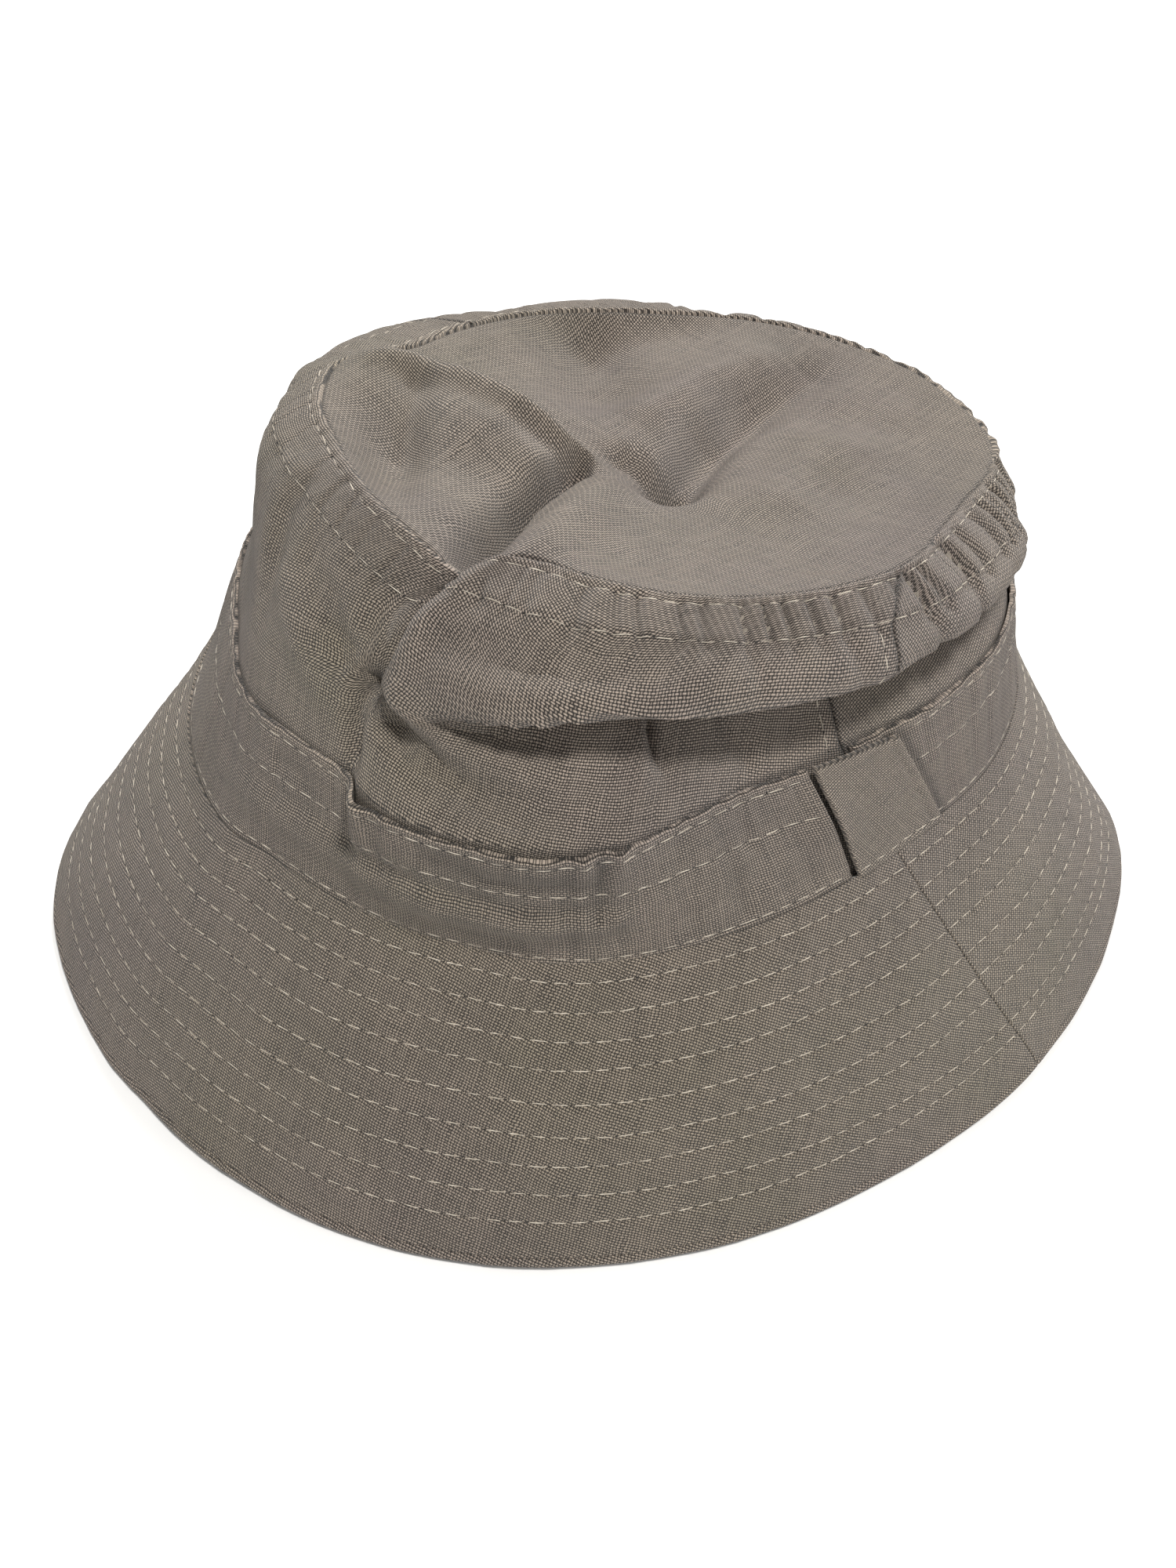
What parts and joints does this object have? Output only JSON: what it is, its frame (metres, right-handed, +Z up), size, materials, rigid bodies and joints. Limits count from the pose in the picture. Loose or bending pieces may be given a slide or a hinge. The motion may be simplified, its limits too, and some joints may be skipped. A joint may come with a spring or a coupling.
{
  "type": "bucket hat",
  "caption": "Woven canvas bucket hat: slumped oval crown with a stitched band and tab over a sloping quilted brim, lined at its seams.",
  "frame": {"origin": "on the surface the brim's edge stands on, under the middle of the hat's oval", "axes": "+Z up through the crown; +Y towards the back of the head, along the long way of the oval; +X to the wearer's left with the wearer facing -Y, where the band's tab is; the two side seams are on +X and -X"},
  "size_m": [0.2458, 0.268, 0.116],
  "materials": {
    "crown_canvas": "matt slubby plain weave",
    "brim_canvas": "matt slubby plain weave",
    "brim_under_canvas": "matt slubby plain weave",
    "band_canvas": "matt slubby plain weave, folded double",
    "tab_canvas": "matt slubby plain weave, cut on the other grain",
    "sweatband_cotton": "matt cotton twill",
    "seam_tape": "matt folded cotton tape",
    "interlining": "matt nonwoven",
    "sewing_thread": "slightly glossy spun polyester"
  },
  "bodies": {
    "root": {"band_bottom_stitching": "sewing_thread", "band_middle_stitching": "sewing_thread", "band_tab": "tab_canvas", "band_top_stitching": "sewing_thread", "brim_interlining_back": "interlining", "brim_interlining_front": "interlining", "brim_stitching_row_1": "sewing_thread", "brim_stitching_row_2": "sewing_thread", "brim_stitching_row_3": "sewing_thread", "brim_stitching_row_4": "sewing_thread", "brim_stitching_row_5": "sewing_thread", "brim_stitching_row_6": "sewing_thread", "brim_stitching_row_7": "sewing_thread", "brim_stitching_row_8": "sewing_thread", "brim_stitching_row_9": "sewing_thread", "brim_top_back": "brim_canvas", "brim_top_front": "brim_canvas", "brim_under_back": "brim_under_canvas", "brim_under_front": "brim_under_canvas", "crown_side_back": "crown_canvas", "crown_side_front": "crown_canvas", "crown_tip": "crown_canvas", "hat_band": "band_canvas", "side_seam_stitching_left": "sewing_thread", "side_seam_stitching_right": "sewing_thread", "side_seam_tape_left": "seam_tape", "side_seam_tape_right": "seam_tape", "sweatband": "sweatband_cotton", "tip_edge_stitching": "sewing_thread", "tip_seam_tape": "seam_tape", "tip_tape_stitching": "sewing_thread"}
  },
  "joints": []
}
